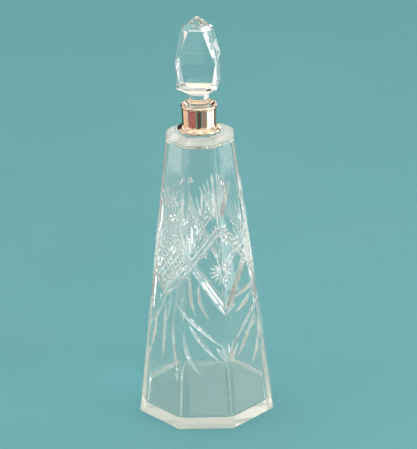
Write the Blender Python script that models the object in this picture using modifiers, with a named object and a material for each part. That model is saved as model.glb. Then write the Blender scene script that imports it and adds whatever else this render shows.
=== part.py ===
"""A cut-glass scent bottle: a tall, tapering octagonal body with a gilt collar cemented round its neck,
and a faceted glass stopper whose ground peg stands in the neck.

The frame is +Z up, in metres. The origin is the middle of the face the bottle stands on, and the
middle of one of its eight sides faces -Y. The stopper's origin lies on the neck's axis, at the mouth.
"""

import math

import bmesh
import bpy
from mathutils import Matrix, Vector

MM = 0.001

# The body's octagons are given by their width across the flats.
SIDES = 8
BASE_FLATS = 59.6 * MM
SHOULDER_FLATS = 28.8 * MM
SHOULDER_Z = 127.5 * MM
SEAT_FLATS = 21.6 * MM  # the flat top of the shoulder, which the collar stands on
SEAT_Z = 129.8 * MM
FOOT_CHAMFER = 0.7 * MM
EDGE_BEVEL = 0.9 * MM  # the softened edges between the sides
TALL_EDGE = 5.0 * MM  # only the edges between the sides are taller than this

# The space for the scent.
FLOOR_THICKNESS = 3.7 * MM
CEILING_Z = 126.2 * MM
CEILING_CHAMFER = 0.9 * MM
# The wall's (height, thickness): a thick heel that thins quickly above it.
WALL = (
    (FLOOR_THICKNESS, 3.0 * MM),
    (26.0 * MM, 2.8 * MM),
    (33.0 * MM, 1.6 * MM),
    (CEILING_Z - CEILING_CHAMFER, 1.3 * MM),
)
CAVITY_BEVEL = 1.6 * MM

# The glass neck and its tapered, ground bore.
NECK_RADIUS = 5.6 * MM
NECK_TOP_Z = 139.6 * MM
BORE_TOP_RADIUS = 4.2 * MM
BORE_END_RADIUS = 3.65 * MM

# The collar: a sleeve whose foot is spun outwards, and a rounded ring soldered on its mouth.
GAP = 0.3 * MM  # between pieces that rest on each other
SHEET = 0.55 * MM
FOOT_RADIUS = 9.5 * MM
FOOT_LIP = 0.8 * MM
FOOT_HEIGHT = 3.0 * MM  # from the shoulder to where the flare meets the waist
FLARE_POWER = 2.0
FLARE_STEPS = 7
WAIST_RADIUS = 7.35 * MM
SLEEVE_TOP_RADIUS = 7.55 * MM
SLEEVE_TOP_Z = 139.8 * MM
SOLDER_GAP = 0.05 * MM
RIM_RADIUS = 7.85 * MM
RIM_MOUTH_RADIUS = 5.25 * MM
RIM_HEIGHT = 1.4 * MM
RIM_ROUND_START = 110  # degrees, where the rounded outside begins at the top
RIM_ROUND_STEP = 20
RIM_CHAMFER = 0.3 * MM  # under the mouth's edge
RIM_DISH = (0.2 * MM, 0.55 * MM)  # outwards and up, from the mouth's lower edge to the dish

# The stopper.
MOUTH_Z = 140.0 * MM
PEG_CLEARANCE = 0.2 * MM
PEG_LENGTH = 13.0 * MM
PEG_END_RADIUS = 3.48 * MM
PEG_BEVEL = 0.6 * MM
NECK_TAPER = 1.0 * MM  # the height over which the stopper's neck draws in to the peg
STOPPER_NECK_RADIUS = 4.3 * MM
HEAD_UNDER_RADIUS = 4.8 * MM
HEAD_UNDER_Z = 146.1 * MM
HEAD_TURN = math.radians(-7.0)  # how far the stopper stands turned from square with the body
# Each level of the head: its height, half the width across its main faces, and half the width of one
# main face there. Where the two halves are nearly equal the section is all but a plain square.
HEAD_LEVELS = (
    (147.9 * MM, 6.2 * MM, 4.2 * MM),
    (149.7 * MM, 8.5 * MM, 6.4 * MM),
    (161.3 * MM, 8.63 * MM, 8.3 * MM),
    (174.8 * MM, 6.3 * MM, 2.9 * MM),
)
HEAD_TIP_Z = 180.0 * MM

TURN_STEPS = 48
GLASS = ((0.93, 0.97, 0.96, 1.0), 0.04, 0.0)
GILT = ((0.86, 0.60, 0.38, 1.0), 0.14, 1.0)
PLASTER = ((0.80, 0.77, 0.70, 1.0), 0.9, 0.0)


def collection(name):
    made = bpy.data.collections.new(name)
    bpy.context.scene.collection.children.link(made)
    return made


def principled(name, look):
    """A material of one colour, roughness and metallic value."""
    colour, roughness, metallic = look
    material = bpy.data.materials.new(name)
    material.use_nodes = True
    shader = material.node_tree.nodes["Principled BSDF"]
    shader.inputs["Base Color"].default_value = colour
    shader.inputs["Roughness"].default_value = roughness
    shader.inputs["Metallic"].default_value = metallic
    material.diffuse_color = colour
    return material


def add_object(name, mesh, where, material=None):
    obj = bpy.data.objects.new(name, mesh)
    where.objects.link(obj)
    if material:
        mesh.materials.append(material)
    return obj


def ring(mesh, radius, z, count, turn):
    """A ring of corners, evenly spaced, the first one at the angle turn."""
    step = 2.0 * math.pi / count
    return [
        mesh.verts.new((radius * math.cos(turn + k * step), radius * math.sin(turn + k * step), z))
        for k in range(count)
    ]


def bridge(mesh, low, high):
    """The band of faces between two rings of the same count, low one first, facing outwards."""
    count = len(low)
    for k in range(count):
        j = (k + 1) % count
        mesh.faces.new((low[k], low[j], high[j], high[k]))


def octagon_solid(name, levels):
    """A closed solid through octagons of the given (width across flats, height), a side facing -Y."""
    mesh = bmesh.new()
    half_side = math.pi / SIDES
    rings = [
        ring(mesh, flats / 2.0 / math.cos(half_side), z, SIDES, half_side) for flats, z in levels
    ]
    for low, high in zip(rings, rings[1:]):
        bridge(mesh, low, high)
    mesh.faces.new(tuple(reversed(rings[0])))
    mesh.faces.new(rings[-1])
    data = bpy.data.meshes.new(name)
    mesh.to_mesh(data)
    mesh.free()
    return data


def soften_long_edges(data, width, segments):
    """Rounds the edges that run up between the sides."""
    mesh = bmesh.new()
    mesh.from_mesh(data)
    long_edges = [e for e in mesh.edges if abs(e.verts[0].co.z - e.verts[1].co.z) > TALL_EDGE]
    bmesh.ops.bevel(mesh, geom=long_edges, offset=width, segments=segments, profile=0.5, affect="EDGES")
    mesh.to_mesh(data)
    mesh.free()


def turned(name, profile, where, material=None):
    """A solid of revolution about Z. The profile is (radius, height) points down the outer side."""
    data = bpy.data.meshes.new(name)
    points = [(radius, 0.0, z) for radius, z in profile]
    closed = profile[0][0] > 0.0
    edges = [(k, k + 1) for k in range(len(points) - 1)]
    if closed:
        edges.append((len(points) - 1, 0))
    data.from_pydata(points, edges, [])
    obj = add_object(name, data, where, material)
    screw = obj.modifiers.new("turn", "SCREW")
    screw.axis = "Z"
    screw.steps = TURN_STEPS
    screw.render_steps = TURN_STEPS
    screw.use_merge_vertices = True
    screw.merge_threshold = 0.00001
    screw.use_smooth_shade = True
    return obj


def boolean(obj, name, operation, other):
    modifier = obj.modifiers.new(name, "BOOLEAN")
    modifier.operation = operation
    modifier.object = other


def cutter(obj):
    obj.hide_render = True
    obj.display_type = "WIRE"
    return obj


def flats_at(z):
    """The body's width across its flats at a height."""
    share = z / SHOULDER_Z
    return BASE_FLATS + (SHOULDER_FLATS - BASE_FLATS) * share


def make_glass_body(parts, cutters):
    """The cut body: eight tapering sides, a sloped shoulder, a round neck, and the space inside."""
    outside = octagon_solid(
        "glass_body",
        (
            (flats_at(0.0) - 2.0 * FOOT_CHAMFER, 0.0),
            (flats_at(FOOT_CHAMFER), FOOT_CHAMFER),
            (SHOULDER_FLATS, SHOULDER_Z),
            (SEAT_FLATS, SEAT_Z),
        ),
    )
    soften_long_edges(outside, EDGE_BEVEL, 2)
    body = add_object("glass_body", outside, parts, principled("clear_glass_body", GLASS))
    boolean(body, "add neck", "UNION", make_neck(cutters))
    boolean(body, "hollow", "DIFFERENCE", make_cavity(cutters))
    boolean(body, "bore", "DIFFERENCE", make_bore(cutters))


def make_neck(cutters):
    root_z = SHOULDER_Z  # inside the shoulder, so that the two overlap
    profile = ((0.0, NECK_TOP_Z), (NECK_RADIUS, NECK_TOP_Z), (NECK_RADIUS, root_z), (0.0, root_z))
    return cutter(turned("neck_outside", profile, cutters))


def make_cavity(cutters):
    """The eight-sided space for the scent, with a flat ceiling under the shoulder."""
    levels = [(flats_at(z) - 2.0 * thickness, z) for z, thickness in WALL]
    levels.append((levels[-1][0] - 2.0 * CEILING_CHAMFER, CEILING_Z))
    inside = octagon_solid("cavity", levels)
    soften_long_edges(inside, CAVITY_BEVEL, 3)
    return cutter(add_object("cavity", inside, cutters))


def make_bore(cutters):
    """The tapered bore, run on by a margin at both ends."""
    margin = MM
    widening = (BORE_TOP_RADIUS - BORE_END_RADIUS) / (NECK_TOP_Z - CEILING_Z) * margin
    high = NECK_TOP_Z + margin
    low = CEILING_Z - margin
    profile = (
        (0.0, high),
        (BORE_TOP_RADIUS + widening, high),
        (BORE_END_RADIUS - widening, low),
        (0.0, low),
    )
    return cutter(turned("bore", profile, cutters))


def flare(foot_radius, waist_radius, z, height):
    """Points of a flare from its foot up to the waist, steepening as it rises."""
    reach = foot_radius - waist_radius
    points = []
    for k in range(FLARE_STEPS + 1):
        share = k / FLARE_STEPS
        points.append((waist_radius + reach * (1.0 - share) ** FLARE_POWER, z + height * share))
    return points


def make_collar_sleeve(parts):
    """The sleeve round the neck, with its foot spun outwards onto the shoulder."""
    foot_z = SEAT_Z + GAP
    lip_z = foot_z + FOOT_LIP
    rise = FOOT_HEIGHT - FOOT_LIP
    outer = [(SLEEVE_TOP_RADIUS, SLEEVE_TOP_Z)]
    outer += reversed(flare(FOOT_RADIUS, WAIST_RADIUS, lip_z, rise))
    outer.append((FOOT_RADIUS, foot_z))
    inner = [(FOOT_RADIUS - SHEET, foot_z)]
    inner += flare(FOOT_RADIUS - SHEET, WAIST_RADIUS - SHEET, lip_z - SHEET / 2.0, rise)
    inner.append((SLEEVE_TOP_RADIUS - SHEET, SLEEVE_TOP_Z))
    turned("collar_sleeve", outer + inner, parts, principled("gilt_sleeve", GILT))


def make_collar_rim(parts):
    """The ring round the collar's mouth: rounded outside, and dished inwards towards the stopper."""
    bottom = SLEEVE_TOP_Z + SOLDER_GAP
    half = RIM_HEIGHT / 2.0
    rounded = []
    for angle in range(RIM_ROUND_START, -91, -RIM_ROUND_STEP):
        turn = math.radians(angle)
        rounded.append(
            (RIM_RADIUS - half + half * math.cos(turn), bottom + half + half * math.sin(turn))
        )
    dish_out, dish_up = RIM_DISH
    dished = [
        (RIM_MOUTH_RADIUS + RIM_CHAMFER, bottom),
        (RIM_MOUTH_RADIUS, bottom + RIM_CHAMFER),
        (RIM_MOUTH_RADIUS + dish_out, bottom + dish_up),
    ]
    turned("collar_rim", rounded + dished, parts, principled("gilt_rim", GILT))


def make_collar_cement(parts):
    """The plaster that beds the sleeve on the glass neck."""
    inner = NECK_RADIUS + GAP
    outer = WAIST_RADIUS - SHEET - GAP
    low = SEAT_Z + GAP
    spread = flare(FOOT_RADIUS - SHEET - 3.0 * GAP, outer, low, FOOT_HEIGHT - GAP)
    profile = [(outer, NECK_TOP_Z - GAP)]
    profile += reversed(spread)
    profile += [(inner, low), (inner, NECK_TOP_Z - GAP)]
    turned("collar_cement", profile, parts, principled("plaster", PLASTER))


def head_section(mesh, z, half_width, half_face):
    """One level of the head as an eight-cornered ring; a plain square repeats each of its corners."""
    corners = []
    for quarter in range(4):
        turn = Matrix.Rotation(quarter * math.pi / 2.0, 3, "Z")
        for side in (-half_face, half_face):
            corners.append(mesh.verts.new(turn @ Vector((half_width, side, z))))
    return corners


def head_mesh():
    """The head: broad faces with triangular cuts at the corners, a low point, and a hollowed underside."""
    mesh = bmesh.new()
    rings = [ring(mesh, HEAD_UNDER_RADIUS, HEAD_UNDER_Z - MOUTH_Z, SIDES, -math.pi / SIDES)]
    rings += [head_section(mesh, z - MOUTH_Z, half, face) for z, half, face in HEAD_LEVELS]
    for low, high in zip(rings, rings[1:]):
        bridge(mesh, low, high)
    under, top = rings[0], rings[-1]
    mesh.faces.new(tuple(reversed(under)))
    tip = mesh.verts.new((0.0, 0.0, HEAD_TIP_Z - MOUTH_Z))
    for k, corner in enumerate(top):
        mesh.faces.new((corner, top[(k + 1) % SIDES], tip))
    bmesh.ops.remove_doubles(mesh, verts=mesh.verts, dist=0.01 * MM)
    data = bpy.data.meshes.new("stopper")
    mesh.to_mesh(data)
    mesh.free()
    return data


def make_stem(cutters):
    """The round neck under the head, and the ground peg that stands in the bore."""
    into_head = HEAD_UNDER_Z - MOUTH_Z + MM
    profile = (
        (0.0, into_head),
        (STOPPER_NECK_RADIUS, into_head),
        (STOPPER_NECK_RADIUS, NECK_TAPER),
        (BORE_TOP_RADIUS - PEG_CLEARANCE, 0.0),
        (PEG_END_RADIUS, PEG_BEVEL - PEG_LENGTH),
        (PEG_END_RADIUS - PEG_BEVEL, -PEG_LENGTH),
        (0.0, -PEG_LENGTH),
    )
    stem = cutter(turned("stopper_stem", profile, cutters))
    stem.location.z = MOUTH_Z
    return stem


def make_stopper(parts, cutters):
    stopper = add_object("stopper", head_mesh(), parts, principled("clear_glass_stopper", GLASS))
    stopper.location.z = MOUTH_Z
    stopper.rotation_euler.z = HEAD_TURN
    boolean(stopper, "add stem", "UNION", make_stem(cutters))


def main():
    for obj in list(bpy.data.objects):
        bpy.data.objects.remove(obj, do_unlink=True)
    parts = collection("perfume_bottle")
    cutters = collection("cutters")
    make_glass_body(parts, cutters)
    make_collar_sleeve(parts)
    make_collar_rim(parts)
    make_collar_cement(parts)
    make_stopper(parts, cutters)


main()
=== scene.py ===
"""The looks of a cut-glass scent bottle: a tall octagonal body cut with leaves, fans, stars and hatching,
a gilt collar bedded in plaster, and a faceted glass stopper, on a pale floor in soft studio light.

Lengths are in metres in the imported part's frame: +Z up, the bottle's foot at z = 0, its front facing -Y.
"""

import math
import random

import bmesh
import bpy
from mathutils import Matrix, Vector


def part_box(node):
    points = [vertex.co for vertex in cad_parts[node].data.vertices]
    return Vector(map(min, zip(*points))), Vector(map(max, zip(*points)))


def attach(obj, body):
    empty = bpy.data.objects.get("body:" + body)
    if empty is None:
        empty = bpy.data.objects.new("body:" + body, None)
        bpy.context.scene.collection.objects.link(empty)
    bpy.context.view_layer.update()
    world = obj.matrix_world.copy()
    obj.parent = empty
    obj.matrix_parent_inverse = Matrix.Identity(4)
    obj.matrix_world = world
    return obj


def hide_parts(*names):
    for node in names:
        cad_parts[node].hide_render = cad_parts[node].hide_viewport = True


MM = 0.001

# ---------------------------------------------------------------- the frame and the sizes read from it

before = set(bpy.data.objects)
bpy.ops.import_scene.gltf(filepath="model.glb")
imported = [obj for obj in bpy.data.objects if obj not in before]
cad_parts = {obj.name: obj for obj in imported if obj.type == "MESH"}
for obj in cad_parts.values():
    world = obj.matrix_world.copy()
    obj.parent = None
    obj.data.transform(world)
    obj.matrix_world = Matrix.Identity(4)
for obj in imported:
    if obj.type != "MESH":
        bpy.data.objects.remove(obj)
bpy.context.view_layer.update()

BODY_LOW, BODY_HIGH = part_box("glass_body")
SLEEVE_LOW, SLEEVE_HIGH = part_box("collar_sleeve")
RIM_LOW, RIM_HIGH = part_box("collar_rim")
STOPPER_LOW, STOPPER_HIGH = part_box("stopper")

SIDES = 8
HALF_SIDE = math.pi / SIDES
SEAT_GAP = 0.3 * MM
FOOT_CHAMFER = 0.7 * MM
SHOULDER_Z = 127.5 * MM
SHOULDER_FLATS = 28.8 * MM
SEAT_FLATS = 21.6 * MM
SEAT_Z = SLEEVE_LOW.z - SEAT_GAP
BASE_FLATS = 59.6 * MM
NECK_TOP_Z = BODY_HIGH.z
NECK_RADIUS = 5.6 * MM
BORE_TOP_RADIUS = 4.2 * MM
BORE_END_RADIUS = 3.65 * MM
FLOOR_THICKNESS = 3.7 * MM
CEILING_Z = 126.2 * MM
CEILING_ROUND = 0.9 * MM
# (height, thickness) of the wall: a thick heel that thins quickly above it
WALL = (
    (FLOOR_THICKNESS, 3.0 * MM),
    (26.0 * MM, 2.8 * MM),
    (33.0 * MM, 1.6 * MM),
    (125.3 * MM, 1.3 * MM),
)
EDGE_BEVEL = 0.7 * MM
CAVITY_BEVEL = 1.6 * MM
CAVITY_FOOT_ROUND = 2.4 * MM
PIECE_OVERLAP = 1.0 * MM  # how far a cutting or joined solid runs past the surface that it meets
GLASS_TURN_STEPS = 96  # round surfaces of glass
METAL_TURN_STEPS = 128  # round surfaces of metal


def flats_at(z):
    """The body's width across its flats at a height."""
    return BASE_FLATS + (SHOULDER_FLATS - BASE_FLATS) * z / SHOULDER_Z


def side_width_at(z):
    """The width of one of the eight sides at a height."""
    return flats_at(z) * math.tan(HALF_SIDE)


# ---------------------------------------------------------------- mesh helpers

TALL_EDGE = 5.0 * MM  # the body's and the cavity's long edges are taller than this
SAME_PLACE = 0.01 * MM  # nearer than this counts as the same height or place


def new_object(name, mesh_or_bmesh):
    """An object in the scene. A bmesh is turned into a mesh and freed."""
    if isinstance(mesh_or_bmesh, bmesh.types.BMesh):
        data = bpy.data.meshes.new(name)
        mesh_or_bmesh.to_mesh(data)
        mesh_or_bmesh.free()
    else:
        data = mesh_or_bmesh
    obj = bpy.data.objects.new(name, data)
    bpy.context.scene.collection.objects.link(obj)
    return obj


def ring(mesh, radius, z, count, turn=0.0):
    """Vertices evenly round the axis, anticlockwise seen from above."""
    step = 2.0 * math.pi / count
    return [
        mesh.verts.new((radius * math.cos(turn + k * step), radius * math.sin(turn + k * step), z))
        for k in range(count)
    ]


def bridge(mesh, low, high):
    """The band of faces between two rings of the same count, facing outwards when low is below."""
    count = len(low)
    for k in range(count):
        j = (k + 1) % count
        mesh.faces.new((low[k], low[j], high[j], high[k]))


def octagons(levels, edge_width, segments, foot_round=0.0):
    """A closed solid through octagons given as (width across flats, height), its long edges rounded.

    foot_round also rounds the edges of its lowest octagon."""
    mesh = bmesh.new()
    rings = [
        ring(mesh, flats / 2.0 / math.cos(HALF_SIDE), z, SIDES, HALF_SIDE) for flats, z in levels
    ]
    for low, high in zip(rings, rings[1:]):
        bridge(mesh, low, high)
    mesh.faces.new(tuple(reversed(rings[0])))
    mesh.faces.new(rings[-1])
    long_edges = [e for e in mesh.edges if abs(e.verts[0].co.z - e.verts[1].co.z) > TALL_EDGE]
    bmesh.ops.bevel(
        mesh, geom=long_edges, offset=edge_width, segments=segments, profile=0.5, affect="EDGES"
    )
    if foot_round:
        lowest = levels[0][1]
        foot_edges = [
            e for e in mesh.edges if all(abs(v.co.z - lowest) < SAME_PLACE for v in e.verts)
        ]
        bmesh.ops.bevel(
            mesh, geom=foot_edges, offset=foot_round, segments=segments, profile=0.5, affect="EDGES"
        )
    return mesh


def lathe(profile, steps):
    """A closed solid of revolution. The profile is (radius, height), down the outer side; a profile that
    starts and ends off the axis is closed into a ring."""
    mesh = bmesh.new()
    rows = []
    for radius, z in profile:
        rows.append([mesh.verts.new((0.0, 0.0, z))] if radius == 0.0 else ring(mesh, radius, z, steps))
    pairs = list(zip(rows, rows[1:]))
    if profile[0][0] > 0.0:
        pairs.append((rows[-1], rows[0]))
    for high, low in pairs:
        for k in range(steps):
            j = (k + 1) % steps
            if len(high) == 1:
                mesh.faces.new((high[0], low[k], low[j]))
            elif len(low) == 1:
                mesh.faces.new((low[0], high[j], high[k]))
            else:
                mesh.faces.new((low[k], low[j], high[j], high[k]))
    return mesh


def evaluated_copy(obj, name):
    """The object with its modifiers applied, as a plain mesh."""
    graph = bpy.context.evaluated_depsgraph_get()
    data = bpy.data.meshes.new_from_object(obj.evaluated_get(graph), depsgraph=graph)
    data.name = name
    return data


# Placeholder materials that tell, after the cuts are made, which tool left each face.
MARKERS = {name: bpy.data.materials.new(name) for name in ("plain", "cut", "bore")}


def combine(obj, operation, others):
    """Cuts the others from obj, or joins them to it, and removes them."""
    pool = bpy.data.collections.new("pool")
    bpy.context.scene.collection.children.link(pool)
    for other in others:
        pool.objects.link(other)
    modifier = obj.modifiers.new("combine", "BOOLEAN")
    modifier.operation = operation
    modifier.operand_type = "COLLECTION"
    modifier.collection = pool
    modifier.solver = "MANIFOLD"
    modifier.material_mode = "TRANSFER"
    data = evaluated_copy(obj, obj.name)
    obj.modifiers.clear()
    obj.data = data
    for other in others:
        bpy.data.objects.remove(other)
    bpy.data.collections.remove(pool)


def crisp(obj, angle):
    """Smooth shading across gentle bends, sharp creases elsewhere, and flat faces that stay flat."""
    obj.data.shade_smooth()
    obj.data.set_sharp_from_angle(angle=math.radians(angle))
    weighted = obj.modifiers.new("flat faces first", "WEIGHTED_NORMAL")
    weighted.weight = 100
    weighted.keep_sharp = True


# ---------------------------------------------------------------- the glass cutter's strokes

# A place on the body is (side, z): side counts sides anticlockwise from the front, seen from above, so 0.0
# is the middle of the front, 0.5 the edge to its right, and 8.0 the front again.
MITRE = math.radians(52.0)  # half the angle of the wheel's V edge
CUT_LIFT = 0.5 * MM  # how far each stroke's solid stands out of the glass
EDGE_TOLERANCE = 1e-4  # in sides
LEAST_SHARE = 0.02  # a station on an edge is left out when it is this near to a regular one
LEAST_LEAN = 0.35  # keeps a stroke that runs almost along an edge from growing too wide there
PATH_STEP = 0.01  # how far ahead and behind, in t, the direction of a path is taken
END_DEPTH = -0.02 * MM  # a stroke's ends stop just above the glass


def side_frame(index):
    """(outward normal, direction along the side) of one flat side."""
    angle = -math.pi / 2.0 + index * 2.0 * HALF_SIDE
    slope = (BASE_FLATS - SHOULDER_FLATS) / 2.0 / SHOULDER_Z
    normal = Vector((math.cos(angle), math.sin(angle), slope)).normalized()
    return normal, Vector((-math.sin(angle), math.cos(angle), 0.0))


def on_body(side, z):
    """(point, normal) on the body. On an edge the normal is the mean of the two sides' normals."""
    index = round(side)
    part = side - index
    normal, along = side_frame(index)
    level = Vector((normal.x, normal.y, 0.0)).normalized()
    point = level * (flats_at(z) / 2.0) + along * (part * side_width_at(z)) + Vector((0.0, 0.0, z))
    if abs(abs(part) - 0.5) < EDGE_TOLERANCE:
        other, _ = side_frame(index + (1 if part > 0 else -1))
        mean = (normal + other) / 2.0
        return point, mean / mean.length_squared
    return point, normal


def stations_on(path, segments):
    """(t, edge) along a path: even steps, with no edge, and the places where it crosses an edge."""
    times = [k / segments for k in range(segments + 1)]
    crossings = []
    for a, b in zip(times, times[1:]):
        side_a = path(a)[0]
        side_b = path(b)[0]
        edge_a = math.floor(side_a + 0.5)
        edge_b = math.floor(side_b + 0.5)
        if edge_a != edge_b and abs(side_b - side_a) > EDGE_TOLERANCE:
            edge = max(edge_a, edge_b) - 0.5
            share = (edge - side_a) / (side_b - side_a)
            if LEAST_SHARE < share < 1.0 - LEAST_SHARE:
                crossings.append((a + share * (b - a), edge))
    return sorted([(t, None) for t in times] + crossings, key=lambda station: station[0])


def stroke_corners(path, t, edge, half_width, ends):
    """A stroke's section at one station: the bottom of the cut, and two corners above the glass."""
    side, z = path(t)
    point, normal = on_body(side if edge is None else edge, z)
    before = path(max(t - PATH_STEP, 0.0))
    after = path(min(t + PATH_STEP, 1.0))
    ahead = (on_body(*after)[0] - on_body(*before)[0]).normalized()
    across = normal.cross(ahead).normalized()
    if edge is not None:
        along_edge = (on_body(edge, z + MM)[0] - point).normalized()
        lean = max(abs(ahead.cross(along_edge).length), LEAST_LEAN)
        across = along_edge * (1.0 if across.dot(along_edge) > 0 else -1.0) / lean
    run = min(1.0, (1.0 - abs(2.0 * t - 1.0)) / ends)
    width = half_width * (1.0 - (1.0 - run) ** 2)
    depth = width / math.tan(MITRE)
    if t in (0.0, 1.0):
        depth = END_DEPTH
    reach = (depth + CUT_LIFT) * math.tan(MITRE)
    return (
        point - normal * depth,
        point + normal * CUT_LIFT + across * reach,
        point + normal * CUT_LIFT - across * reach,
    )


def stroke(path, half_width, ends=1.0, segments=10):
    """One pass of the wheel along a path, as a solid to cut away.

    path(t) gives (side, z) for t from 0 to 1. The cut is half_width wide on each side of the path at its
    widest; ends = 1 tapers all the way to both ends like a leaf, and less keeps a longer even run."""
    mesh = bmesh.new()
    rows = []
    for t, edge in stations_on(path, segments):
        corners = stroke_corners(path, t, edge, half_width, ends)
        rows.append([mesh.verts.new(corner) for corner in corners])
    for a, b in zip(rows, rows[1:]):
        for i, j in ((0, 1), (1, 2), (2, 0)):
            mesh.faces.new((a[i], a[j], b[j], b[i]))
    mesh.faces.new(rows[0])
    mesh.faces.new(tuple(reversed(rows[-1])))
    bmesh.ops.triangulate(mesh, faces=mesh.faces)
    bmesh.ops.recalc_face_normals(mesh, faces=mesh.faces)
    made = new_object("stroke", mesh)
    made.data.materials.append(MARKERS["cut"])
    return made


def line(start, end, bow=0.0):
    """A path from start to end. bow bends its middle sideways, as a share of its length in z."""
    rise = end[1] - start[1]
    bend = bow * rise / side_width_at((start[1] + end[1]) / 2.0)

    def path(t):
        side = start[0] + (end[0] - start[0]) * t + bend * 4.0 * t * (1.0 - t)
        return side, start[1] + rise * t

    return path


def ray(centre, angle, near, far):
    """A straight path out from a centre at an angle from straight up, between two distances."""
    width = side_width_at(centre[1])

    def path(t):
        distance = near + (far - near) * t
        return (
            centre[0] + distance * math.sin(angle) / width,
            centre[1] + distance * math.cos(angle),
        )

    return path


def star(centre, points, near, far, half_width):
    """Short cuts all round a centre."""
    turn = 2.0 * math.pi / points
    return [stroke(ray(centre, k * turn, near, far), half_width, segments=4) for k in range(points)]


def fan(centre, spread, count, near, far, half_width, drop=0.0):
    """Leaves spread evenly to both sides of straight up; the outer ones are shorter by drop."""
    strokes = []
    for k in range(count):
        share = 2.0 * k / (count - 1) - 1.0
        length = far - drop * share * share
        strokes.append(stroke(ray(centre, spread * share, near, length), half_width, segments=6))
    return strokes


# ---------------------------------------------------------------- the pattern

# The pattern repeats round the body in three units. Each unit mirrors about its own axis, where the
# hatched lozenge stands, and about its borders, where the tall fans and large stars stand. Inside a unit,
# across runs from 0 on the axis to 1 on the border.
# Each is (side of the axis, sides from axis to border, reach of the axis fan, reach of the border fan).
UNITS = (
    (-1.0, 1.5, 12.5 * MM, 23.5 * MM),
    (2.0, 1.5, 12.5 * MM, 12.0 * MM),
    (4.5, 1.0, 6.0 * MM, 11.0 * MM),
)
LOZENGE_TOP = 96.0 * MM
LOZENGE_FOOT = 61.0 * MM
BORDER_TOP = 91.0 * MM
BORDER_FOOT = 53.5 * MM
RIBBON = 1.5 * MM  # half the height between the two cuts of a ribbon
HATCHING = 9  # the parts that the hatching divides a lozenge's side into
BORDER_STAR_Z = 71.5 * MM
RIBBON_STARS = (0.36, 0.66)  # how far across
# Each leaf is (start, end, half its width in millimetres, bow), each place (across, height in millimetres).
LEAVES = (
    ((0.20, 58.5), (0.93, 37.5), 0.95, 0.02),
    ((0.44, 48.5), (0.87, 31.0), 1.05, 0.04),
    ((0.38, 46.0), (0.61, 25.0), 1.0, 0.10),
    ((0.17, 52.0), (0.30, 27.0), 0.9, 0.05),
)
MIDDLE_LEAF_TOP = 56.5 * MM
MIDDLE_LEAF_FOOT = 30.0 * MM
CROSSING_FAN_RISE = 2.5 * MM  # above the place where the ribbons cross
AXIS_FAN_Z = 96.5 * MM
BORDER_FAN_Z = 92.0 * MM
FOOT_FAN_Z = 29.5 * MM


class Unit:
    """Turns a unit's own places, (across, z), into places on the body."""

    def __init__(self, axis, span, mirror):
        self.axis = axis
        self.span = span
        self.mirror = mirror

    def at(self, across, z):
        return self.axis + self.mirror * across * self.span, z

    def line(self, start, end, bow=0.0):
        return line(self.at(*start), self.at(*end), bow * self.mirror)


def crossing():
    """Where the two ribbons of a half unit cross, as (across, z)."""
    fall = LOZENGE_TOP - BORDER_FOOT
    rise = BORDER_TOP - LOZENGE_FOOT
    across = (LOZENGE_TOP - LOZENGE_FOOT) / (fall + rise)
    return across, LOZENGE_TOP - fall * across


def ribbons(unit):
    """Two double cuts that cross: one falls from the lozenge's top, one rises from its foot."""
    strokes = []
    for low, high in ((LOZENGE_TOP, BORDER_FOOT), (LOZENGE_FOOT, BORDER_TOP)):
        for shift in (-RIBBON, RIBBON):
            path = unit.line((0.0, low + shift), (1.0, high + shift))
            strokes.append(stroke(path, half_width=0.75 * MM, ends=0.12, segments=24))
    return strokes


def lozenge_hatching(unit):
    """Fine cuts that fill the lozenge on the unit's axis, parallel to its sides."""
    across, middle = crossing()
    strokes = []
    for k in range(1, HATCHING):
        share = k / HATCHING
        top_point = (across * share, LOZENGE_TOP + (middle - LOZENGE_TOP) * share)
        foot_point = (across * share, LOZENGE_FOOT + (middle - LOZENGE_FOOT) * share)
        for point, far in ((top_point, LOZENGE_FOOT), (foot_point, LOZENGE_TOP)):
            end = (-across * (1.0 - share), far + (middle - far) * (1.0 - share))
            path = unit.line(point, end)
            strokes.append(stroke(path, half_width=0.62 * MM, ends=0.1, segments=12))
    return strokes


def border_star(unit):
    """The large star in the lozenge on the border."""
    centre = unit.at(1.0, BORDER_STAR_Z)
    return star(centre, points=16, near=0.5 * MM, far=6.2 * MM, half_width=0.62 * MM)


def ribbon_stars(unit):
    """Small stars that stand on the rising ribbon."""
    strokes = []
    for across in RIBBON_STARS:
        centre = unit.at(across, LOZENGE_FOOT + (BORDER_TOP - LOZENGE_FOOT) * across)
        strokes += star(centre, points=10, near=0.3 * MM, far=3.4 * MM, half_width=0.5 * MM)
    return strokes


def leaf_spray(unit):
    """The leaves that fall from under the lozenge, one half of the spray."""
    strokes = []
    for start, end, half_width, bow in LEAVES:
        path = unit.line((start[0], start[1] * MM), (end[0], end[1] * MM), bow)
        strokes.append(stroke(path, half_width * MM, segments=14))
    return strokes


def crossing_fan(unit):
    """Fills the notch above the place where the ribbons cross."""
    across, z = crossing()
    return fan(
        unit.at(across, z + CROSSING_FAN_RISE),
        spread=math.radians(46.0),
        count=9,
        near=1.5 * MM,
        far=15.0 * MM,
        half_width=0.6 * MM,
        drop=3.0 * MM,
    )


def axis_strokes(unit, reach):
    """What stands on the unit's own axis: the upper fan and the middle leaf of the spray."""
    strokes = fan(
        unit.at(0.0, AXIS_FAN_Z),
        spread=math.radians(52.0),
        count=7,
        near=2.2 * MM,
        far=reach,
        half_width=0.75 * MM,
        drop=1.5 * MM,
    )
    leaf = unit.line((0.0, MIDDLE_LEAF_TOP), (0.0, MIDDLE_LEAF_FOOT))
    strokes.append(stroke(leaf, half_width=1.05 * MM, segments=14))
    return strokes


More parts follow.
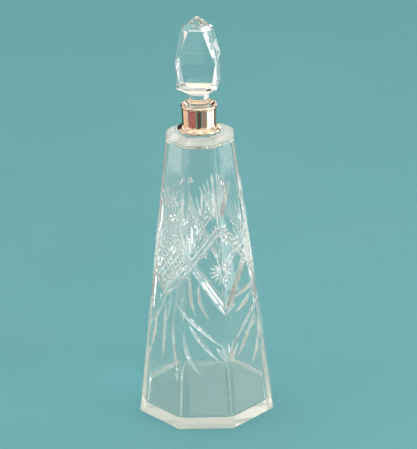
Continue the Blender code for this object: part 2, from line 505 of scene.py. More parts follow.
def border_strokes(unit, reach):
    """What stands on a border: the tall fan, the small fan near the foot, and the large star."""
    strokes = fan(
        unit.at(1.0, BORDER_FAN_Z),
        spread=math.radians(25.0),
        count=9,
        near=3.0 * MM,
        far=reach,
        half_width=0.72 * MM,
        drop=3.0 * MM,
    )
    strokes += fan(
        unit.at(1.0, FOOT_FAN_Z),
        spread=math.radians(34.0),
        count=5,
        near=1.2 * MM,
        far=12.0 * MM,
        half_width=0.85 * MM,
        drop=1.0 * MM,
    )
    strokes += border_star(unit)
    return strokes


def pattern():
    strokes = []
    for axis, span, axis_reach, border_reach in UNITS:
        for mirror in (1, -1):
            unit = Unit(axis, span, mirror)
            strokes += ribbons(unit)
            strokes += ribbon_stars(unit)
            strokes += leaf_spray(unit)
            strokes += crossing_fan(unit)
        strokes += lozenge_hatching(Unit(axis, span, 1))
        strokes += axis_strokes(Unit(axis, span, 1), axis_reach)
        strokes += border_strokes(Unit(axis, span, 1), border_reach)
    return strokes


# ---------------------------------------------------------------- materials

GLASS_IOR = 1.53
GLASS_TINT = (0.985, 0.995, 0.992, 1.0)
GLASS_SHADOW_TINT = (0.82, 0.87, 0.87, 1.0)
BLOOM_WHITE = (0.98, 0.97, 0.95, 1.0)
# The tone that the glass's haze glows with by itself: a painted glow, standing in for light scattered
# inside the glass.
PAINTED_MILK_GLOW = (0.67, 0.69, 0.58, 1.0)
BLACK = (0.0, 0.0, 0.0, 1.0)
# Each glass surface is (grain in features per metre, least and most roughness, strength and depth of
# its waves), and each bloom is (least and most share).
POLISHED_SURFACE = (90.0, 0.0, 0.03, 0.05, 0.5 * MM)
CUT_SURFACE = (1500.0, 0.03, 0.12, 0.12, 0.03 * MM)
GROUND_SURFACE = (9000.0, 0.3, 0.55, 0.4, 0.05 * MM)
CUT_BLOOM = (0.12, 0.34)
GROUND_BLOOM = (0.1, 0.2)
BLOOM_SCALE = 140.0
PLASTER_TONES = ((0.80, 0.77, 0.69, 1.0), (0.66, 0.61, 0.52, 1.0))
FLOOR_TONES = ((0.125, 0.345, 0.365, 1.0), (0.14, 0.36, 0.38, 1.0))

# Values of the "finish" attribute on glass faces.
POLISHED = 0.0
WHEEL_CUT = 1.0
SATIN = 1.6
GROUND = 2.0


def node_material(name):
    """(material, nodes, links, output) with an empty node tree."""
    material = bpy.data.materials.new(name)
    material.use_nodes = True
    tree = material.node_tree
    tree.nodes.clear()
    return material, tree.nodes, tree.links, tree.nodes.new("ShaderNodeOutputMaterial")


def noise(nodes, links, scale, detail=3.0, roughness=0.5):
    """A noise texture in the part's own space, scale in features per metre."""
    place = nodes.new("ShaderNodeTexCoord")
    made = nodes.new("ShaderNodeTexNoise")
    made.inputs["Scale"].default_value = scale
    made.inputs["Detail"].default_value = detail
    made.inputs["Roughness"].default_value = roughness
    links.new(place.outputs["Object"], made.inputs["Vector"])
    return made


def ranged(nodes, links, source, low, high, from_low=0.3, from_high=0.7):
    """A value between low and high, as the source runs from from_low to from_high."""
    made = nodes.new("ShaderNodeMapRange")
    made.inputs["From Min"].default_value = from_low
    made.inputs["From Max"].default_value = from_high
    made.inputs["To Min"].default_value = low
    made.inputs["To Max"].default_value = high
    links.new(source, made.inputs["Value"])
    return made.outputs["Result"]


def bump(nodes, links, height, strength, distance):
    made = nodes.new("ShaderNodeBump")
    made.inputs["Strength"].default_value = strength
    made.inputs["Distance"].default_value = distance
    links.new(height, made.inputs["Height"])
    return made.outputs["Normal"]


def blended(nodes, links, factor, first, second):
    """A colour between two."""
    made = nodes.new("ShaderNodeMix")
    made.data_type = "RGBA"
    made.inputs["A"].default_value = first
    made.inputs["B"].default_value = second
    links.new(factor, made.inputs["Factor"])
    return made.outputs["Result"]


def mixed(nodes, links, factor, first, second):
    """A surface between two, by a factor that is a number or a socket."""
    made = nodes.new("ShaderNodeMixShader")
    if isinstance(factor, float):
        made.inputs["Fac"].default_value = factor
    else:
        links.new(factor, made.inputs["Fac"])
    links.new(first, made.inputs[1])
    links.new(second, made.inputs[2])
    return made.outputs["Shader"]


def calculated(nodes, links, operation, *values):
    """The result of one sum, product or test. Each value is a number or a socket."""
    made = nodes.new("ShaderNodeMath")
    made.operation = operation
    for value, socket in zip(values, made.inputs):
        if isinstance(value, float):
            socket.default_value = value
        else:
            links.new(value, socket)
    return made.outputs["Value"]


def clear_surface(nodes, links, grain_scale, smooth, rough, wave_strength, wave_depth):
    """Glass whose roughness drifts between two values, with a gentle bump."""
    shader = nodes.new("ShaderNodeBsdfPrincipled")
    shader.inputs["Base Color"].default_value = GLASS_TINT
    shader.inputs["IOR"].default_value = GLASS_IOR
    shader.inputs["Transmission Weight"].default_value = 1.0
    grain = noise(nodes, links, grain_scale, detail=4.0).outputs["Fac"]
    links.new(ranged(nodes, links, grain, smooth, rough, 0.4, 0.75), shader.inputs["Roughness"])
    links.new(bump(nodes, links, grain, wave_strength, wave_depth), shader.inputs["Normal"])
    return shader.outputs["BSDF"]


def bloomed(nodes, links, surface, low, high):
    """A clear surface with a white bloom, whose share drifts between low and high."""
    through = nodes.new("ShaderNodeBsdfTranslucent")
    through.inputs["Color"].default_value = BLOOM_WHITE
    back = nodes.new("ShaderNodeBsdfDiffuse")
    back.inputs["Color"].default_value = BLOOM_WHITE
    bloom = mixed(nodes, links, 0.5, through.outputs["BSDF"], back.outputs["BSDF"])
    patches = noise(nodes, links, BLOOM_SCALE)
    share = ranged(nodes, links, patches.outputs["Fac"], low, high)
    return mixed(nodes, links, share, surface, bloom)


def glass_surface(nodes, links):
    """Polished, wheel cut or ground glass, by the "finish" of each face."""
    finish = nodes.new("ShaderNodeAttribute")
    finish.attribute_name = "finish"
    to_cut = ranged(nodes, links, finish.outputs["Fac"], 0.0, 1.0, POLISHED, WHEEL_CUT)
    to_ground = ranged(nodes, links, finish.outputs["Fac"], 0.0, 1.0, WHEEL_CUT, GROUND)
    polished = clear_surface(nodes, links, *POLISHED_SURFACE)
    cut = bloomed(nodes, links, clear_surface(nodes, links, *CUT_SURFACE), *CUT_BLOOM)
    ground = bloomed(nodes, links, clear_surface(nodes, links, *GROUND_SURFACE), *GROUND_BLOOM)
    return mixed(nodes, links, to_ground, mixed(nodes, links, to_cut, polished, cut), ground)


def haze_with_painted_glow(nodes, links, haze_and_glow):
    """Dims what lies behind the glass, and adds as much of the milk's tone as a painted glow: the glass
    glows by itself, in place of light that it scatters.
    """
    dimming = nodes.new("ShaderNodeVolumeAbsorption")
    dimming.inputs["Color"].default_value = BLACK
    dimming.inputs["Density"].default_value = haze_and_glow
    glow = nodes.new("ShaderNodeEmission")
    glow.inputs["Color"].default_value = PAINTED_MILK_GLOW
    glow.inputs["Strength"].default_value = haze_and_glow
    both = nodes.new("ShaderNodeAddShader")
    links.new(dimming.outputs["Volume"], both.inputs[0])
    links.new(glow.outputs["Emission"], both.inputs[1])
    return both.outputs["Shader"]


def glass_material(name, haze_and_glow):
    """Clear glass that casts a pale shadow.

    The haze is per metre. Its volume glows with a pale warm tone of its own, a painted glow in place of
    light scattered in the glass:
    light that runs a long way inside the glass, along a wall or the floor, picks up much of that tone, and
    a straight look through a wall hardly any."""
    material, nodes, links, output = node_material(name)
    through = nodes.new("ShaderNodeBsdfTransparent")
    through.inputs["Color"].default_value = GLASS_SHADOW_TINT
    kind = nodes.new("ShaderNodeLightPath")
    surface = mixed(
        nodes, links, kind.outputs["Is Shadow Ray"], glass_surface(nodes, links), through.outputs["BSDF"]
    )
    links.new(surface, output.inputs["Surface"])
    links.new(haze_with_painted_glow(nodes, links, haze_and_glow), output.inputs["Volume"])
    return material


def set_finish(obj, finish_of):
    """Writes each face's finish, clears the object's materials and points every face at the first slot."""
    layer = obj.data.attributes.new("finish", "FLOAT", "FACE")
    layer.data.foreach_set("value", [finish_of(face) for face in obj.data.polygons])
    obj.data.materials.clear()
    obj.data.polygons.foreach_set("material_index", [0] * len(obj.data.polygons))


def gilt_material(name, colour, deep):
    """Polished gilding: its hue and roughness drift a little, and it has soft dents."""
    material, nodes, links, output = node_material(name)
    shader = nodes.new("ShaderNodeBsdfPrincipled")
    shader.inputs["Metallic"].default_value = 1.0
    drift = noise(nodes, links, scale=240.0, detail=4.0, roughness=0.55).outputs["Fac"]
    depth = ranged(nodes, links, drift, 0.0, 1.0, 0.35, 0.75)
    links.new(blended(nodes, links, depth, colour, deep), shader.inputs["Base Color"])
    links.new(ranged(nodes, links, drift, 0.07, 0.2, 0.4, 0.8), shader.inputs["Roughness"])
    dents = noise(nodes, links, scale=260.0, detail=2.0).outputs["Fac"]
    links.new(bump(nodes, links, dents, 0.25, 0.12 * MM), shader.inputs["Normal"])
    links.new(shader.outputs["BSDF"], output.inputs["Surface"])
    return material


def plaster_material(name):
    """Matt, slightly yellowed plaster with a fine grain."""
    material, nodes, links, output = node_material(name)
    shader = nodes.new("ShaderNodeBsdfPrincipled")
    grain = noise(nodes, links, scale=2600.0, detail=6.0, roughness=0.65).outputs["Fac"]
    age = ranged(nodes, links, grain, 0.0, 1.0)
    links.new(blended(nodes, links, age, *PLASTER_TONES), shader.inputs["Base Color"])
    shader.inputs["Roughness"].default_value = 0.9
    links.new(bump(nodes, links, grain, 0.6, 0.1 * MM), shader.inputs["Normal"])
    links.new(shader.outputs["BSDF"], output.inputs["Surface"])
    return material


def floor_material(name):
    """A plain, matt, pale blue-green."""
    material, nodes, links, output = node_material(name)
    shader = nodes.new("ShaderNodeBsdfPrincipled")
    mottle = noise(nodes, links, scale=6.0, detail=4.0)
    share = ranged(nodes, links, mottle.outputs["Fac"], 0.0, 1.0)
    links.new(blended(nodes, links, share, *FLOOR_TONES), shader.inputs["Base Color"])
    shader.inputs["Roughness"].default_value = 0.9
    shader.inputs["Specular IOR Level"].default_value = 0.1
    links.new(shader.outputs["BSDF"], output.inputs["Surface"])
    return material


# Both glasses glow a little by themselves through their haze, a painted glow; the body's far more than the
# stopper's.
CUT_GLASS = glass_material("clear_cut_glass", haze_and_glow=26.0)
STOPPER_GLASS = glass_material("clear_stopper_glass", haze_and_glow=2.0)
GILT = gilt_material("rose_gilt", (0.94, 0.73, 0.55, 1.0), (0.83, 0.58, 0.43, 1.0))
# The rim's gilding is a little paler than the sleeve's: a painted highlight, as the rounded rim catches
# more light.
GILT_RIM = gilt_material("pale_gilt", (0.95, 0.75, 0.55, 1.0), (0.88, 0.63, 0.47, 1.0))
PLASTER = plaster_material("yellowed_plaster")


def hand_over(obj, node, body):
    """Puts a finished piece in the place of a CAD node, on that node's body."""
    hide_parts(node)
    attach(obj, body)


# ---------------------------------------------------------------- the glass body

def body_outside():
    levels = (
        (flats_at(0.0) - 2.0 * FOOT_CHAMFER, 0.0),
        (flats_at(FOOT_CHAMFER), FOOT_CHAMFER),
        (SHOULDER_FLATS, SHOULDER_Z),
        (SEAT_FLATS, SEAT_Z),
    )
    return octagons(levels, EDGE_BEVEL, segments=3)


def body_neck():
    """The tube under the collar, before it is bored, with a softened top edge."""
    edge = 0.4 * MM
    profile = (
        (0.0, NECK_TOP_Z),
        (NECK_RADIUS - edge, NECK_TOP_Z),
        (NECK_RADIUS, NECK_TOP_Z - edge),
        (NECK_RADIUS, SHOULDER_Z),
        (0.0, SHOULDER_Z),
    )
    return lathe(profile, GLASS_TURN_STEPS)


def body_cavity():
    levels = [(flats_at(z) - 2.0 * thickness, z) for z, thickness in WALL]
    top_flats = levels[-1][0]
    levels.append((top_flats - 0.6 * CEILING_ROUND, CEILING_Z - 0.3 * CEILING_ROUND))
    levels.append((top_flats - 2.0 * CEILING_ROUND, CEILING_Z))
    return octagons(levels, CAVITY_BEVEL, segments=4, foot_round=CAVITY_FOOT_ROUND)


def body_bore():
    """The tapered hole that the peg stands in, run past the neck's top and the cavity's ceiling."""
    widening = (BORE_TOP_RADIUS - BORE_END_RADIUS) / (NECK_TOP_Z - CEILING_Z) * PIECE_OVERLAP
    profile = (
        (0.0, NECK_TOP_Z + PIECE_OVERLAP),
        (BORE_TOP_RADIUS + widening, NECK_TOP_Z + PIECE_OVERLAP),
        (BORE_END_RADIUS - widening, CEILING_Z - PIECE_OVERLAP),
        (0.0, CEILING_Z - PIECE_OVERLAP),
    )
    return lathe(profile, GLASS_TURN_STEPS)


def make_body():
    body = new_object("cut_glass_body", body_outside())
    body.data.materials.append(MARKERS["plain"])
    combine(body, "UNION", [new_object("neck", body_neck())])
    cavity = new_object("cavity", body_cavity())
    cavity.data.materials.append(MARKERS["plain"])
    bore = new_object("bore", body_bore())
    bore.data.materials.append(MARKERS["bore"])
    combine(body, "DIFFERENCE", [cavity, bore] + pattern())
    finishes = {"plain": POLISHED, "cut": WHEEL_CUT, "bore": GROUND}
    left_by = [finishes[material.name] for material in body.data.materials]
    slope_low = SHOULDER_Z + 0.1 * MM
    slope_high = SEAT_Z - 0.1 * MM

    def finish_of(face):
        """The shoulder's slope is satin. Elsewhere the finish is that of the tool that left the face."""
        if slope_low < face.center.z < slope_high and face.center.xy.length > SEAT_FLATS / 2.0:
            return SATIN
        return left_by[face.material_index]

    set_finish(body, finish_of)
    body.data.materials.append(CUT_GLASS)
    crisp(body, 22.0)
    hand_over(body, "glass_body", "bottle")


# ---------------------------------------------------------------- the collar

WAIST_RADIUS = 7.35 * MM
SLEEVE_TOP_RADIUS = 7.55 * MM
SHEET = 0.55 * MM
FOOT_LIP = 0.8 * MM
FLARE_HEIGHT = 2.2 * MM
LIP_ROUND = 0.25 * MM
MOUTH_RADIUS = 5.25 * MM
MOUTH_ROUND = 0.3 * MM


def flare(foot_radius, waist_radius, z, count):
    """Points (radius, height) of a flare from its foot up to the waist, steepening as it rises."""
    reach = foot_radius - waist_radius
    return [
        (waist_radius + reach * (1.0 - k / count) ** 2, z + FLARE_HEIGHT * k / count)
        for k in range(count + 1)
    ]


def arc(centre_radius, centre_z, size, start, end, count):
    """Points (radius, height) of an arc, from one angle in degrees to another."""
    points = []
    for k in range(count + 1):
        angle = math.radians(start + (end - start) * k / count)
        points.append((centre_radius + size * math.cos(angle), centre_z + size * math.sin(angle)))
    return points


def make_sleeve():
    """The thin tube, its foot spun outwards into a flare with a rounded lip."""
    foot_radius = SLEEVE_HIGH.x
    foot_z = SLEEVE_LOW.z
    top_z = SLEEVE_HIGH.z
    lip_z = foot_z + FOOT_LIP
    flare_foot = foot_radius - 0.15 * MM
    lip_centre = foot_radius - LIP_ROUND
    outer = [(SLEEVE_TOP_RADIUS, top_z)]
    outer += reversed(flare(flare_foot, WAIST_RADIUS, lip_z, 14))
    outer += arc(lip_centre, lip_z - LIP_ROUND, LIP_ROUND, 60, 0, 4)
    outer += arc(lip_centre, foot_z + LIP_ROUND, LIP_ROUND, 0, -90, 4)
    inner = [(foot_radius - SHEET, foot_z)]
    inner += flare(foot_radius - SHEET, WAIST_RADIUS - SHEET, lip_z - SHEET / 2.0, 10)
    inner.append((SLEEVE_TOP_RADIUS - SHEET, top_z))
    sleeve = new_object("gilt_collar_sleeve", lathe(outer + inner, METAL_TURN_STEPS))
    sleeve.data.materials.append(GILT)
    crisp(sleeve, 35.0)
    hand_over(sleeve, "collar_sleeve", "bottle")


def make_rim():
    """The ring on the sleeve's top: round outside, and dished down to a softened edge at its mouth."""
    half = (RIM_HIGH.z - RIM_LOW.z) / 2.0
    middle = (RIM_HIGH.z + RIM_LOW.z) / 2.0
    mouth_centre = MOUTH_RADIUS + MOUTH_ROUND
    profile = arc(RIM_HIGH.x - half, middle, half, 118, -90, 18)
    profile += [(mouth_centre, RIM_LOW.z)]
    profile += arc(mouth_centre, RIM_LOW.z + MOUTH_ROUND, MOUTH_ROUND, -110, -220, 6)
    rim = new_object("gilt_collar_rim", lathe(profile, METAL_TURN_STEPS))
    rim.data.materials.append(GILT_RIM)
    crisp(rim, 50.0)
    hand_over(rim, "collar_rim", "bottle")


def dress_cement():
    """The plaster keeps its CAD shape and gets only its material."""
    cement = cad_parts["collar_cement"]
    cement.data.materials.clear()
    cement.data.materials.append(PLASTER)


# ---------------------------------------------------------------- the stopper

HEAD_TURN = math.radians(-7.0)
MOUTH_Z = 140.0 * MM
HEAD_UNDER_Z = 146.1 * MM
HEAD_UNDER_RADIUS = 4.8 * MM
# (height, half the width across the main faces, half the width of one main face)
HEAD_LEVELS = (
    (146.8 * MM, 5.2 * MM, 2.9 * MM),
    (147.9 * MM, 6.2 * MM, 4.2 * MM),
    (149.7 * MM, 8.5 * MM, 6.4 * MM),
    (161.3 * MM, 8.63 * MM, 8.3 * MM),
    (174.8 * MM, 6.3 * MM, 2.9 * MM),
)
STOPPER_NECK_RADIUS = 4.3 * MM
PEG_TOP_RADIUS = BORE_TOP_RADIUS - 0.2 * MM
PEG_END_RADIUS = 3.48 * MM
PEG_BEVEL = 0.6 * MM
FACET_BEVEL = 0.16 * MM


def head_mesh():
    """The faceted head: an octagonal underside, four main faces with four corner faces, and a pointed
    top, all turned a little on the neck. Its edges are softened."""
    mesh = bmesh.new()
    rings = [ring(mesh, HEAD_UNDER_RADIUS, HEAD_UNDER_Z, SIDES, -HALF_SIDE)]
    for z, half_width, half_face in HEAD_LEVELS:
        corners = []
        for quarter in range(4):
            turn = Matrix.Rotation(quarter * math.pi / 2.0, 3, "Z")
            for side in (-half_face, half_face):
                corners.append(mesh.verts.new(turn @ Vector((half_width, side, z))))
        rings.append(corners)
    for low, high in zip(rings, rings[1:]):
        bridge(mesh, low, high)
    mesh.faces.new(tuple(reversed(rings[0])))
    tip = mesh.verts.new((0.0, 0.0, STOPPER_HIGH.z))
    top = rings[-1]
    for k, corner in enumerate(top):
        mesh.faces.new((corner, top[(k + 1) % SIDES], tip))
    bmesh.ops.remove_doubles(mesh, verts=mesh.verts, dist=SAME_PLACE)
    bmesh.ops.rotate(mesh, verts=mesh.verts, matrix=Matrix.Rotation(HEAD_TURN, 3, "Z"))
    lowest = HEAD_LEVELS[1][0] + 0.1 * MM
    highest = STOPPER_HIGH.z - 0.1 * MM
    edges = [e for e in mesh.edges if lowest < max(v.co.z for v in e.verts) < highest]
    bmesh.ops.bevel(
        mesh, geom=edges, offset=FACET_BEVEL, segments=2, profile=0.5, affect="EDGES"
    )
    return mesh


def stem_mesh():
    """The stopper's round neck and tapered peg, run up into the head."""
    stem_top = HEAD_UNDER_Z + PIECE_OVERLAP
    peg_z = STOPPER_LOW.z
    profile = (
        (0.0, stem_top),
        (STOPPER_NECK_RADIUS, stem_top),
        (STOPPER_NECK_RADIUS, MOUTH_Z + 1.2 * MM),
        (STOPPER_NECK_RADIUS - 0.15 * MM, MOUTH_Z + 0.7 * MM),
        (PEG_TOP_RADIUS, MOUTH_Z),
        (PEG_END_RADIUS, peg_z + PEG_BEVEL),
        (PEG_END_RADIUS - PEG_BEVEL, peg_z),
        (0.0, peg_z),
    )
    return lathe(profile, GLASS_TURN_STEPS)


def make_stopper():
    stopper = new_object("faceted_stopper", head_mesh())
    combine(stopper, "UNION", [new_object("stem", stem_mesh())])

    def finish_of(face):
        """The peg's side is ground. Its end and the rest of the stopper are polished."""
        ground = face.center.z < MOUTH_Z and abs(face.normal.z) < 0.5
        return GROUND if ground else POLISHED

    set_finish(stopper, finish_of)
    stopper.data.materials.append(STOPPER_GLASS)
    crisp(stopper, 12.0)
    hand_over(stopper, "stopper", "stopper")


# ---------------------------------------------------------------- the studio

FLOOR_HALF_WIDTH = 3.0
FLOOR_DROP = 0.1 * MM  # below the foot, so that the two surfaces don't fight


def make_floor():
    mesh = bmesh.new()
    bmesh.ops.create_grid(mesh, x_segments=8, y_segments=8, size=FLOOR_HALF_WIDTH)
    floor = new_object("floor", mesh)
    floor.location.z = BODY_LOW.z - FLOOR_DROP
    floor.data.materials.append(floor_material("pale_floor"))


# What the gilding mirrors: upright cards round the bottle, each (bearing from the front towards +X and
# width, in degrees, and colour). Only reflections see them.
GILT_CARDS = (
    (0.0, 26.0, (0.10, 0.085, 0.09)),
    (33.0, 26.0, (0.36, 0.29, 0.30)),
    (70.0, 26.0, (3.4, 3.4, 3.3)),
    (101.0, 18.0, (3.4, 3.3, 3.2)),
    (123.0, 22.0, (0.20, 0.13, 0.11)),
    (-48.0, 50.0, (0.44, 0.19, 0.21)),
    (-103.0, 44.0, (0.95, 0.74, 0.62)),
    (-150.0, 30.0, (0.05, 0.05, 0.05)),
)
GILT_CARD_DISTANCE = 0.24
GILT_CARD_HEIGHT = 0.26
# A glowing disc over the bottle, seen only in reflections: a painted reflection of a bright ceiling that
# lightens the gilding's foot.
OVERHEAD_COLOUR = (1.25, 1.22, 1.0)
OVERHEAD_RADIUS = 0.22
OVERHEAD_Z = 0.48

# Cards that show only to rays bent by the glass: (bearing, width, distance, low and high edge, colour).
# The stopper's cards light its facets and put a narrow streak in one. The body's put a gleam down its
# right, dark lines in its cuts and light along its foot.
STOPPER_CARDS = (
    (-148.0, 34.0, 0.15, 0.067, 0.17, (1.4, 1.4, 1.36)),
    (-144.6, 0.7, 0.12, 0.03, 0.085, (1.8, 1.8, 1.8)),
    (-100.0, 46.0, 0.12, 0.10, 0.20, (1.4, 1.4, 1.4)),
    (5.0, 60.0, 0.12, 0.165, 0.26, (1.35, 1.35, 1.35)),
    (-20.0, 50.0, 0.12, 0.015, 0.10, (1.5, 1.48, 1.45)),
    (58.0, 66.0, 0.12, 0.12, 0.19, (1.3, 1.3, 1.28)),
    (135.0, 30.0, 0.12, 0.03, 0.085, (1.15, 0.95, 0.88)),
    (-160.0, 50.0, 0.30, 0.23, 0.38, (1.35, 1.2, 0.92)),
    (-20.0, 50.0, 0.20, 0.28, 0.46, (1.5, 1.48, 1.45)),
)
BODY_CARDS = (
    (142.0, 16.0, 0.17, 0.0, 0.14, (1.3, 1.3, 1.3)),
    (115.0, 14.0, 0.14, 0.0, 0.13, (0.02, 0.06, 0.06)),
    (60.0, 20.0, 0.14, 0.0, 0.10, (0.03, 0.07, 0.07)),
    (-105.0, 26.0, 0.16, 0.0, 0.055, (2.1, 1.97, 1.92)),
    (95.0, 18.0, 0.16, 0.0, 0.055, (2.1, 2.0, 2.0)),
    (136.0, 40.0, 0.16, 0.0, 0.028, (2.3, 2.2, 2.2)),
)
# The least angles in degrees by which the glass must have turned a ray.
STOPPER_TURN = 21.0
BODY_TURN = 7.0

GLINTS = 380
GLINT_SIZE = 2.6 * MM
GLINT_DISTANCE = 0.20
GLINT_HEIGHT = 0.11
GLINT_BEARINGS = (35.0, 325.0)  # none stands in front
GLINT_COLOUR = (9.0, 8.5, 8.2)
GLINT_SEED = 11
CUT_TOP_Z = 86.0 * MM  # a ray that left the glass lower than this has mostly crossed the cut pattern


def towards(bearing):
    """The level direction from the bottle at a bearing in degrees."""
    angle = math.radians(bearing)
    return Vector((math.sin(angle), -math.cos(angle), 0.0))


def curved_card(bearing, width, distance, low, high):
    """An upright card, part of a drum round the bottle. Angles are in degrees."""
    mesh = bmesh.new()
    rows = []
    steps = 6
    for k in range(steps + 1):
        x, y, _ = distance * towards(bearing + width * (k / steps - 0.5))
        rows.append((mesh.verts.new((x, y, low)), mesh.verts.new((x, y, high))))
    for a, b in zip(rows, rows[1:]):
        mesh.faces.new((a[0], b[0], b[1], a[1]))
    return mesh


def glowing(name, mesh, colour):
    """A card that the camera doesn't see, and that lights and shades no dull surface."""
    card = new_object(name, mesh)
    material, nodes, links, output = node_material(name)
    glow = nodes.new("ShaderNodeEmission")
    glow.inputs["Color"].default_value = (*colour, 1.0)
    links.new(glow.outputs["Emission"], output.inputs["Surface"])
    card.data.materials.append(material)
    card.visible_camera = False
    card.visible_diffuse = False
    card.visible_shadow = False
    return card


def is_turned(nodes, links, geometry, least_turn):
    """1 where the ray that meets the card runs at least that many degrees off a straight line from the
    camera."""
    sight = nodes.new("ShaderNodeCameraData")
    came_from = nodes.new("ShaderNodeVectorTransform")
    came_from.vector_type = "VECTOR"
    came_from.convert_from = "WORLD"
    came_from.convert_to = "CAMERA"
    links.new(geometry.outputs["Incoming"], came_from.inputs["Vector"])
    alike = nodes.new("ShaderNodeVectorMath")
    alike.operation = "DOT_PRODUCT"
    links.new(sight.outputs["View Vector"], alike.inputs[0])
    links.new(came_from.outputs["Vector"], alike.inputs[1])
    straight = -math.cos(math.radians(least_turn))
    return calculated(nodes, links, "GREATER_THAN", alike.outputs["Value"], straight)


def height_left_at(nodes, links, geometry):
    """The height at which the ray that meets the card left the glass."""
    path = nodes.new("ShaderNodeLightPath")
    slope = nodes.new("ShaderNodeSeparateXYZ")
    links.new(geometry.outputs["Incoming"], slope.inputs["Vector"])
    here = nodes.new("ShaderNodeSeparateXYZ")
    links.new(geometry.outputs["Position"], here.inputs["Vector"])
    run = path.outputs["Ray Length"]
    return calculated(nodes, links, "MULTIPLY_ADD", slope.outputs["Z"], run, here.outputs["Z"])


def only_bent_light(card, least_turn, height_test, height):
    """Shows the card only to rays that the glass has turned, so that a straight look through misses it.

    height_test says on which side of the height such a ray must have left the glass."""
    card.visible_glossy = False
    material = card.data.materials[0]
    nodes, links = material.node_tree.nodes, material.node_tree.links
    output = nodes["Material Output"]
    glow = output.inputs["Surface"].links[0].from_socket
    geometry = nodes.new("ShaderNodeNewGeometry")
    turned = is_turned(nodes, links, geometry, least_turn)
    left_at = height_left_at(nodes, links, geometry)
    chosen = calculated(nodes, links, height_test, left_at, height)
    seen = calculated(nodes, links, "MULTIPLY", turned, chosen)
    nothing = nodes.new("ShaderNodeBsdfTransparent")
    links.new(mixed(nodes, links, seen, nothing.outputs["BSDF"], glow), output.inputs["Surface"])


def glints_mesh():
    """Many small bright squares round the bottle, which its cuts turn into sparkles."""
    rng = random.Random(GLINT_SEED)
    mesh = bmesh.new()
    upwards = Vector((0.0, 0.0, GLINT_SIZE))
    for _ in range(GLINTS):
        bearing = rng.uniform(*GLINT_BEARINGS)
        z = rng.uniform(0.0, GLINT_HEIGHT)
        foot = towards(bearing) * GLINT_DISTANCE + Vector((0.0, 0.0, z))
        side = towards(bearing + 90.0) * GLINT_SIZE / 2.0
        corners = (foot - side, foot + side, foot + side + upwards, foot - side + upwards)
        mesh.faces.new([mesh.verts.new(corner) for corner in corners])
    return mesh


def make_cards():
    for k, (bearing, width, colour) in enumerate(GILT_CARDS):
        mesh = curved_card(bearing, width, GILT_CARD_DISTANCE, 0.0, GILT_CARD_HEIGHT)
        glowing(f"gilt_card_{k + 1}", mesh, colour).visible_transmission = False
    for k, (*place, colour) in enumerate(STOPPER_CARDS):
        card = glowing(f"stopper_card_{k + 1}", curved_card(*place), colour)
        only_bent_light(card, STOPPER_TURN, "GREATER_THAN", SHOULDER_Z)
    for k, (*place, colour) in enumerate(BODY_CARDS):
        card = glowing(f"body_card_{k + 1}", curved_card(*place), colour)
        only_bent_light(card, BODY_TURN, "LESS_THAN", SHOULDER_Z)
    glints = glowing("glint_cards", glints_mesh(), GLINT_COLOUR)
    only_bent_light(glints, BODY_TURN, "LESS_THAN", CUT_TOP_Z)
    disc = bmesh.new()
    bmesh.ops.create_circle(disc, cap_ends=True, segments=32, radius=OVERHEAD_RADIUS)
    overhead = glowing("overhead_card", disc, OVERHEAD_COLOUR)
    overhead.location.z = OVERHEAD_Z
    overhead.visible_transmission = False


# Each lamp is (name, place, width, height, power in watts, colour). All face the bottle's middle.
LAMPS = (
    ("window", (0.75, -0.35, 0.55), 0.3, 0.5, 3.4, (1.0, 0.99, 0.97)),
    ("ceiling", (-0.1, 0.25, 1.1), 0.5, 0.4, 2.4, (1.0, 1.0, 1.0)),
    ("left_fill", (-0.9, -0.4, 0.35), 0.15, 0.3, 0.8, (1.0, 0.9, 0.84)),
)
LAMP_TARGET = Vector((0.0, 0.0, 0.1))


def make_lights():
    for name, place, width, height, power, colour in LAMPS:
        lamp = bpy.data.lights.new(name, "AREA")
        lamp.shape = "RECTANGLE"
        lamp.size = width
        lamp.size_y = height
        lamp.energy = power
        lamp.color = colour
        obj = bpy.data.objects.new(name, lamp)
        obj.location = place
        obj.rotation_euler = (LAMP_TARGET - Vector(place)).to_track_quat("-Z", "Y").to_euler()
        bpy.context.scene.collection.objects.link(obj)


WORLD_COLOUR = (1.0, 0.98, 0.96, 1.0)
WORLD_PLAIN = 0.85  # strength of the plain pale tone
WORLD_PANES = (0.12, 1.75)  # strengths of the dark and the bright stretches of wall
# Heights, as the sines of angles above the horizon, between which the band of wall fades in and out.
WORLD_FADE_IN = (0.12, 0.24)
WORLD_FADE_OUT = (0.55, 0.75)


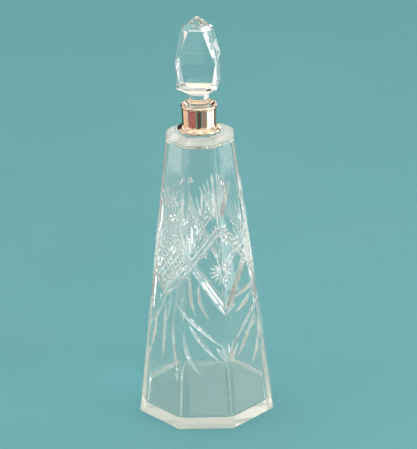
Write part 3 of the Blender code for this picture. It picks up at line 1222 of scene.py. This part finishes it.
def make_world():
    """A pale room. The glass and the gilding bend and mirror a band of wall with bright and dark
    stretches in it; a direct look past the object sees only the plain pale tone."""
    world = bpy.data.worlds.new("studio")
    world.use_nodes = True
    nodes, links = world.node_tree.nodes, world.node_tree.links
    nodes.clear()
    output = nodes.new("ShaderNodeOutputWorld")
    place = nodes.new("ShaderNodeTexCoord")
    upright = nodes.new("ShaderNodeMapping")
    upright.inputs["Scale"].default_value = (1.6, 1.6, 0.0)
    links.new(place.outputs["Generated"], upright.inputs["Vector"])
    panes = nodes.new("ShaderNodeTexNoise")
    panes.inputs["Scale"].default_value = 1.7
    panes.inputs["Detail"].default_value = 1.0
    links.new(upright.outputs["Vector"], panes.inputs["Vector"])
    room = ranged(nodes, links, panes.outputs["Fac"], *WORLD_PANES, 0.45, 0.55)
    split = nodes.new("ShaderNodeSeparateXYZ")
    links.new(place.outputs["Generated"], split.inputs["Vector"])
    above = ranged(nodes, links, split.outputs["Z"], 0.0, 1.0, *WORLD_FADE_IN)
    below = ranged(nodes, links, split.outputs["Z"], 1.0, 0.0, *WORLD_FADE_OUT)
    wall = calculated(nodes, links, "MULTIPLY", above, below)
    kind = nodes.new("ShaderNodeLightPath")
    bent = calculated(nodes, links, "SUBTRACT", 1.0, kind.outputs["Is Camera Ray"])
    strength = nodes.new("ShaderNodeMix")
    strength.inputs["A"].default_value = WORLD_PLAIN
    links.new(calculated(nodes, links, "MULTIPLY", wall, bent), strength.inputs["Factor"])
    links.new(room, strength.inputs["B"])
    back = nodes.new("ShaderNodeBackground")
    back.inputs["Color"].default_value = WORLD_COLOUR
    links.new(strength.outputs["Result"], back.inputs["Strength"])
    links.new(back.outputs["Background"], output.inputs["Surface"])
    bpy.context.scene.world = world


CAMERA_PLACE = Vector((12.1, -752.2, 412.9)) * MM
CAMERA_AIM = Vector((-0.0114, 0.9167, -0.3994)).normalized()
CAMERA_ROLL = math.radians(1.46)
CAMERA_LENS = 151.0  # millimetres, with the sensor
CAMERA_SENSOR = 36.0
CAMERA_CLIP_START = 0.05


def make_camera():
    """The camera stands in front and above, a little right of centre, and is held slightly tilted."""
    right = CAMERA_AIM.cross(Vector((0.0, 0.0, 1.0))).normalized()
    up = right.cross(CAMERA_AIM)
    tilted_right = right * math.cos(CAMERA_ROLL) - up * math.sin(CAMERA_ROLL)
    tilted_up = up * math.cos(CAMERA_ROLL) + right * math.sin(CAMERA_ROLL)
    data = bpy.data.cameras.new("camera")
    data.lens = CAMERA_LENS
    data.sensor_width = CAMERA_SENSOR
    data.clip_start = CAMERA_CLIP_START
    camera = bpy.data.objects.new("camera", data)
    turn = Matrix((tilted_right, tilted_up, -CAMERA_AIM)).transposed()
    camera.matrix_world = Matrix.Translation(CAMERA_PLACE) @ turn.to_4x4()
    bpy.context.scene.collection.objects.link(camera)
    bpy.context.scene.camera = camera


def set_light_paths():
    """Enough bounces for light to cross several walls of glass, and plain colours."""
    bpy.context.scene.view_settings.view_transform = "Standard"
    cycles = bpy.context.scene.cycles
    cycles.max_bounces = 24
    cycles.transmission_bounces = 24
    cycles.transparent_max_bounces = 24
    cycles.glossy_bounces = 8
    cycles.use_denoising = True


make_body()
make_sleeve()
make_rim()
dress_cement()
make_stopper()
make_floor()
make_cards()
make_lights()
make_world()
make_camera()
set_light_paths()
